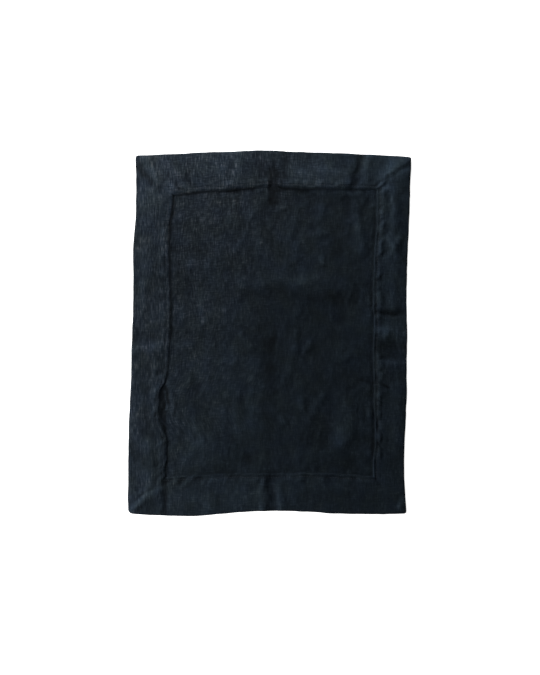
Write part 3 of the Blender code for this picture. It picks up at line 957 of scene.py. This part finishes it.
def stitch_points(start, end, stitch):
    """Points of one stitch, ring by ring: a thread that comes up, lies along and goes down."""
    along = (end - start) / np.linalg.norm(end - start)
    across = np.array([-along[1], along[0], 0.0])
    across /= np.linalg.norm(across)
    upward = np.cross(along, across)
    gap = 0.5 * STITCH_GAP
    points = []
    for share in np.linspace(0.0, 1.0, STITCH_STEPS):
        sunk = (2.0 * share - 1.0) ** 4
        centre = start + along * gap + share * (end - start - 2 * gap * along)
        centre = centre + np.array([0.0, 0.0, stitch.lift - (stitch.lift + stitch.dip) * sunk])
        for side in range(STITCH_SIDES):
            angle = 2.0 * math.pi * side / STITCH_SIDES
            offset = math.cos(angle) * across + math.sin(angle) * upward
            points.append(centre + THREAD_RADIUS * (1.0 - THREAD_PINCH * sunk) * offset)
    return points


def stitch_faces():
    """Faces of one stitch: the sides between its rings, and both ends."""
    rings = np.arange(STITCH_STEPS * STITCH_SIDES).reshape(STITCH_STEPS, STITCH_SIDES)
    faces = []
    for ring, following in zip(rings, rings[1:]):
        faces += ring_faces(ring, following)
    return faces + [rings[0][::-1].tolist(), rings[-1].tolist()]


def make_stitching(seam, material):
    """The hem's sewing as one mesh: a line of stitches on each face of the cloth."""
    upper = resample(seam, STITCH_LENGTH)
    under = upper.copy()
    under[:, 2] = UNDER_STITCHES
    one_stitch = stitch_faces()
    points = []
    faces = []
    for path, stitch in ((upper, UPPER_STITCH), (under, UNDER_STITCH)):
        for start, end in zip(path, np.roll(path, -1, axis=0)):
            faces += [[len(points) + n for n in face] for face in one_stitch]
            points += stitch_points(start, end, stitch)
    return make_object("hem_stitching", points, faces, material)


# Materials

WARP_PITCH = 0.00082  # yarns of the plain weave, in metres
WEFT_PITCH = 0.00090
WARP_WANDER = 1.6  # how far the yarns wander, counted in yarns
WEFT_WANDER = -1.3
UNDER_YARN = 0.5  # height of a yarn where it goes under another

# Noises: bumps in a metre across and along, where they start, how many finer noises are
# added and how strong each of these is beside the one before
Noise = namedtuple("Noise", "across along shift detail roughness")
WANDER = Noise(120, 120, 0, 2, 0.5)
WARP_SLUBS = Noise(620, 95, 0, 3, 0.6)
WEFT_SLUBS = Noise(110, 560, 3, 3, 0.6)
MOTTLE = Noise(200, 150, 7, 3, 0.6)
WASH = Noise(34, 22, 5, 3, 0.55)
DYE = Noise(46, 40, 11, 2, 0.5)
# wavering edge of the painted light on the field's left part
PAINTED_LIGHT_EDGE = Noise(30, 30, 9, 2, 0.5)
FIBRES = Noise(2600, 2600, 0, 2, 0.5)

# Soft steps across the cloth: where each starts and ends, in metres, and from what to what
Step = namedtuple("Step", "start end low high")
LEFT_PAINTED_LIGHT = Step(-0.037, 0.001, 1.20, 1.0)  # painted light: how much lighter the left part is painted
YARN_CONTRAST = Step(-0.06, 0.17, 0.64, 1.35)  # from the bottom right to the top left
WEFT_SHADE = Step(-0.140, -0.122, 0.13, 0.30)  # weaker slubs of the weft on the left hem
PAINTED_LIGHT_UNEVEN = 0.03  # how far the first one, the edge of that painted light, wanders, in metres
CONTRAST_UPWARD = 0.5  # how much going up counts in the second, beside going left

HEM_PAINTED_LIGHT = 1.20  # painted light: how much lighter the hem is painted; and how much more its yarns stand out
CONTRAST_HEM = 1.10
WEAR_AND_SHADE = 0.22  # lighter on ridges as wear and painted light, darker in troughs as painted shade, per millimetre
WEAR_AND_SHADE_LEAST = 0.38
WEAR_AND_SHADE_MOST = 2.60
MIDDLE_SHADE = 0.35  # the shade that contrast leaves at the middle of the colours
MIDDLE_COLOUR = 0.5

# What slubs and patches weigh in the shade, and what they and the weave weigh in the relief
WARP_SHADE = 0.44
MOTTLE_SHADE = 0.12
WASH_SHADE = 0.14
WEAVE_RELIEF = 0.6
WARP_RELIEF = 0.9
WEFT_RELIEF = 0.5

# Colours, each with its place between 0 and 1
LINEN_COLOURS = (
    (0.36, (0.0023, 0.0044, 0.0069)),
    (0.50, (0.0061, 0.0094, 0.0132)),
    (0.58, (0.0119, 0.0167, 0.0218)),
    (0.68, (0.0292, 0.0352, 0.0428)),
)
CONTRAST_TINTS = ((0.12, (0.945, 1.0, 1.012)), (0.95, (1.045, 1.0, 0.985)))
TINTS_START = 0.5  # the contrast that is at place 0 of these tints
DYE_TINTS = ((0.34, (1.025, 1.006, 0.93)), (0.66, (0.975, 0.994, 1.07)))
THREAD_COLOURS = ((0.35, (0.0060, 0.0085, 0.0125)), (0.65, (0.0160, 0.0210, 0.0290)))
WHITE = (1.0, 1.0, 1.0, 1.0)
FLOOR_COLOUR = (0.88, 0.88, 0.88, 1.0)

# Surfaces: tone and roughness are ranges, and a bump is its strength and height in metres
# painted shade between the yarns: tone from the bottom to the top of the weave
WEAVE_PAINTED_SHADE = (0.66, 1.12)
LINEN_ROUGHNESS = (0.80, 0.98)
LINEN_SPECULAR = 0.05
LINEN_BUMP = (0.8, 0.00022)
THREAD_ROUGHNESS = 0.7
THREAD_SPECULAR = 0.2
THREAD_BUMP = (0.5, 0.0001)
FLOOR_ROUGHNESS = 0.9
FLOOR_GLOW = 0.82


class Nodes:
    """A new material, with short ways to add and join its nodes."""

    def __init__(self, name):
        self.material = bpy.data.materials.new(name)
        self.material.use_nodes = True
        self.tree = self.material.node_tree
        self.shader = self.tree.nodes["Principled BSDF"]

    def fill(self, node, inputs):
        """Give a node's inputs, by name or number, their values or their links."""
        for name, value in inputs.items():
            if isinstance(value, bpy.types.NodeSocket):
                self.tree.links.new(value, node.inputs[name])
            else:
                node.inputs[name].default_value = value

    def add(self, kind, inputs, **settings):
        node = self.tree.nodes.new(kind)
        for name, value in settings.items():
            setattr(node, name, value)
        self.fill(node, inputs)
        return node

    def math(self, operation, *values):
        inputs = dict(enumerate(values))
        return self.add("ShaderNodeMath", inputs, operation=operation).outputs[0]

    def total(self, start, *terms):
        """A start value and terms added up, each term a value and its weight."""
        for value, weight in terms:
            start = self.math("MULTIPLY_ADD", value, weight, start)
        return start

    def split(self, vector):
        """The three parts of a vector."""
        return self.add("ShaderNodeSeparateXYZ", {0: vector}).outputs

    def attribute(self, name):
        return self.add("ShaderNodeAttribute", {}, attribute_name=name).outputs["Fac"]

    def object_place(self):
        return self.add("ShaderNodeTexCoord", {}).outputs["Object"]

    def noise(self, place, kind):
        stretched = self.add("ShaderNodeMapping", {
            "Vector": place,
            "Scale": (kind.across, kind.along, 1.0),
            "Location": (kind.shift, kind.shift, 0.0),
        })
        return self.add("ShaderNodeTexNoise", {
            "Vector": stretched.outputs[0],
            "Scale": 1.0,
            "Detail": kind.detail,
            "Roughness": kind.roughness,
        }).outputs["Fac"]

    def ramp(self, value, colours):
        """The colour at a value, between colours at their places."""
        node = self.add("ShaderNodeValToRGB", {0: value})
        elements = node.color_ramp.elements
        while len(elements) < len(colours):
            elements.new(0.5)
        for element, (place, colour) in zip(elements, colours):
            element.position = place
            element.color = (*colour, 1.0)
        return node.outputs[0]

    def between(self, value, low, high):
        """Goes evenly from low to high as the value goes from 0 to 1."""
        inputs = {"Value": value, "To Min": low, "To Max": high}
        return self.add("ShaderNodeMapRange", inputs).outputs[0]

    def ease(self, value, step):
        """Goes from low to high as the value goes over a soft step."""
        return self.add("ShaderNodeMapRange", {
            "Value": value,
            "From Min": step.start,
            "From Max": step.end,
            "To Min": step.low,
            "To Max": step.high,
        }, interpolation_type="SMOOTHSTEP").outputs[0]

    def tinted(self, colour, tint):
        """A colour multiplied by another one or by a number."""
        inputs = {"Factor": 1.0, 6: colour, 7: tint}
        return self.add("ShaderNodeMix", inputs, data_type="RGBA", blend_type="MULTIPLY").outputs[2]

    def bump(self, height, strength, distance):
        inputs = {"Height": height, "Strength": strength, "Distance": distance}
        return self.add("ShaderNodeBump", inputs).outputs[0]


def yarn_section(nodes, yarns):
    """Height across the yarns of one direction, as a row of arches."""
    return nodes.math("ABSOLUTE", nodes.math("SINE", nodes.math("MULTIPLY", yarns, math.pi)))


def weave_height(nodes, across, along):
    """Height of a plain weave, from 0 to 1, at a place counted in yarns each way."""
    warp = yarn_section(nodes, across)
    weft = yarn_section(nodes, along)
    crossing = nodes.math("ADD", nodes.math("FLOOR", across), nodes.math("FLOOR", along))
    parity = nodes.math("ABSOLUTE", nodes.math("MODULO", crossing, 2.0))
    warp_above = nodes.math("MULTIPLY", warp, nodes.between(weft, UNDER_YARN, 1.0))
    weft_above = nodes.math("MULTIPLY", weft, nodes.between(warp, UNDER_YARN, 1.0))
    return nodes.total(nodes.math("MULTIPLY", weft_above, parity),
                       (warp_above, nodes.math("SUBTRACT", 1.0, parity)))


def painted_light_and_wear(nodes, place, hem):
    """How much lighter or darker the colour is painted: the hem and the field's left part lighter
    as painted light, and each place by its wear and painted light and shade.
    """
    # painted light: the field's left part lighter, up to an uneven edge
    uneven = nodes.noise(place, PAINTED_LIGHT_EDGE)
    left = nodes.ease(nodes.total(nodes.split(place)[0], (uneven, PAINTED_LIGHT_UNEVEN)), LEFT_PAINTED_LIGHT)
    # colour lighter on ridges as wear and painted light, and darker in troughs and painted marks as
    # painted shade
    worn_and_shaded = nodes.total(1.0, (nodes.attribute("wear_and_shade"), WEAR_AND_SHADE))
    worn_and_shaded = nodes.math("MINIMUM", nodes.math("MAXIMUM", worn_and_shaded, WEAR_AND_SHADE_LEAST), WEAR_AND_SHADE_MOST)
    # painted light: the hem lighter
    faded = nodes.math("MULTIPLY", left, nodes.between(hem, 1.0, HEM_PAINTED_LIGHT))
    return nodes.math("MULTIPLY", faded, worn_and_shaded)


def yarn_contrast(nodes, place, hem):
    """How strongly the yarns stand out: most at the top left, and more on the hem."""
    x, y, _ = nodes.split(place)
    way = nodes.math("SUBTRACT", nodes.math("MULTIPLY", y, CONTRAST_UPWARD), x)
    on_hem = nodes.between(hem, 1.0, CONTRAST_HEM)
    return nodes.math("MULTIPLY", nodes.ease(way, YARN_CONTRAST), on_hem)


def linen_material():
    """Dark indigo linen: plain weave, slubs, a washed, mottled colour, and painted light and shade.
    """
    nodes = Nodes("washed_linen")
    cloth_place = nodes.add("ShaderNodeUVMap", {}, uv_map="cloth").outputs[0]
    place = nodes.object_place()
    hem = nodes.attribute("hem")

    # Yarns wander a little and vary in thickness
    across, along, _ = nodes.split(cloth_place)
    wander = nodes.noise(cloth_place, WANDER)
    across = nodes.total(nodes.math("DIVIDE", across, WARP_PITCH), (wander, WARP_WANDER))
    along = nodes.total(nodes.math("DIVIDE", along, WEFT_PITCH), (wander, WEFT_WANDER))
    weave = weave_height(nodes, across, along)

    # Slubs: longer and stronger along the warp
    warp_slub = nodes.noise(cloth_place, WARP_SLUBS)
    weft_slub = nodes.math("SUBTRACT", nodes.noise(cloth_place, WEFT_SLUBS), 0.5)
    weft_shade = nodes.ease(nodes.split(place)[0], WEFT_SHADE)
    mottle = nodes.noise(cloth_place, MOTTLE)
    shade = nodes.total(nodes.math("MULTIPLY", warp_slub, WARP_SHADE), (weft_slub, weft_shade),
                        (mottle, MOTTLE_SHADE), (nodes.noise(cloth_place, WASH), WASH_SHADE))

    # Colour: it stands out more, and is warmer, towards the top left and on the hem, and carries
    # the wear and the painted light and shade
    contrast = yarn_contrast(nodes, place, hem)
    shade = nodes.math("SUBTRACT", shade, MIDDLE_SHADE)
    shade = nodes.total(MIDDLE_COLOUR, (shade, contrast))
    # wear and painted light and shade: the weave's painted shade, the painted light on the hem and
    # the left part, and each place's wear and painted marks
    tone = nodes.math("MULTIPLY", nodes.between(weave, *WEAVE_PAINTED_SHADE), painted_light_and_wear(nodes, place, hem))
    colour = nodes.tinted(nodes.ramp(shade, LINEN_COLOURS), tone)
    tint = nodes.ramp(nodes.math("SUBTRACT", contrast, TINTS_START), CONTRAST_TINTS)
    colour = nodes.tinted(colour, tint)
    colour = nodes.tinted(colour, nodes.ramp(nodes.noise(cloth_place, DYE), DYE_TINTS))

    relief = nodes.total(nodes.math("MULTIPLY", weave, WEAVE_RELIEF), (warp_slub, WARP_RELIEF),
                         (weft_slub, WEFT_RELIEF))
    nodes.fill(nodes.shader, {
        "Base Color": colour,
        "Normal": nodes.bump(relief, *LINEN_BUMP),
        "Roughness": nodes.between(mottle, *LINEN_ROUGHNESS),
        "Specular IOR Level": LINEN_SPECULAR,
    })
    return nodes.material


def thread_material():
    """Matt dark sewing thread with its twist."""
    nodes = Nodes("dark_thread")
    fibres = nodes.noise(nodes.object_place(), FIBRES)
    nodes.fill(nodes.shader, {
        "Base Color": nodes.ramp(fibres, THREAD_COLOURS),
        "Normal": nodes.bump(fibres, *THREAD_BUMP),
        "Roughness": THREAD_ROUGHNESS,
        "Specular IOR Level": THREAD_SPECULAR,
    })
    return nodes.material


def floor_material():
    """Plain white floor."""
    nodes = Nodes("white_floor")
    nodes.fill(nodes.shader, {
        "Base Color": FLOOR_COLOUR,
        "Roughness": FLOOR_ROUGHNESS,
        "Specular IOR Level": 0.0,
        "Emission Color": WHITE,
        "Emission Strength": FLOOR_GLOW,
    })
    return nodes.material


# Floor, light and camera, in metres

FLOOR_SIZE = 30.0
FLOOR_HEIGHT = -0.0003
LENS = 85.0
SENSOR = 36.0
VIEW_HEIGHT = 0.854  # what the picture takes in from top to bottom
VIEW_CENTRE = (0.0007, -0.0054)

# Lights: degrees round from +X and above the cloth, distance and size in metres, and watts
Light = namedtuple("Light", "name around above distance size power")
LIGHTS = table(Light,
    ("top_light", 96, 15, 0.66, 0.2, 6.8),
    ("left_light", 200, 21, 0.93, 0.3, 13.2),
)
WORLD_STRENGTH = 0.22


def make_floor():
    bpy.ops.mesh.primitive_plane_add(size=FLOOR_SIZE, location=(0.0, 0.0, FLOOR_HEIGHT))
    floor = bpy.context.object
    floor.name = "floor"
    floor.data.materials.append(floor_material())


def make_camera():
    data = bpy.data.cameras.new("camera")
    data.lens = LENS
    data.sensor_fit = "VERTICAL"
    data.sensor_height = SENSOR
    camera = bpy.data.objects.new("camera", data)
    camera.location = (*VIEW_CENTRE, VIEW_HEIGHT * LENS / SENSOR)
    bpy.context.scene.collection.objects.link(camera)
    bpy.context.scene.camera = camera


def add_area_light(light):
    """A square soft light that faces the middle of the cloth."""
    data = bpy.data.lights.new(light.name, "AREA")
    data.size = light.size
    data.energy = light.power
    lamp = bpy.data.objects.new(light.name, data)
    around = math.radians(light.around)
    above = math.radians(light.above)
    level = light.distance * math.cos(above)
    lamp.location = (level * math.cos(around), level * math.sin(around),
                     light.distance * math.sin(above))
    lamp.rotation_euler = lamp.location.to_track_quat("Z", "Y").to_euler()
    bpy.context.scene.collection.objects.link(lamp)


def make_lights():
    world = bpy.data.worlds.new("world")
    world.use_nodes = True
    background = world.node_tree.nodes["Background"]
    background.inputs["Color"].default_value = WHITE
    background.inputs["Strength"].default_value = WORLD_STRENGTH
    bpy.context.scene.world = world
    for light in LIGHTS:
        add_area_light(light)
    bpy.context.scene.view_settings.view_transform = "Standard"


make_camera()
make_floor()
make_lights()

cloth, seam_line = make_cloth(linen_material())
stitching = make_stitching(seam_line, thread_material())
for piece in (cloth, stitching):
    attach(piece, "root")
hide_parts(CAD_NODE)
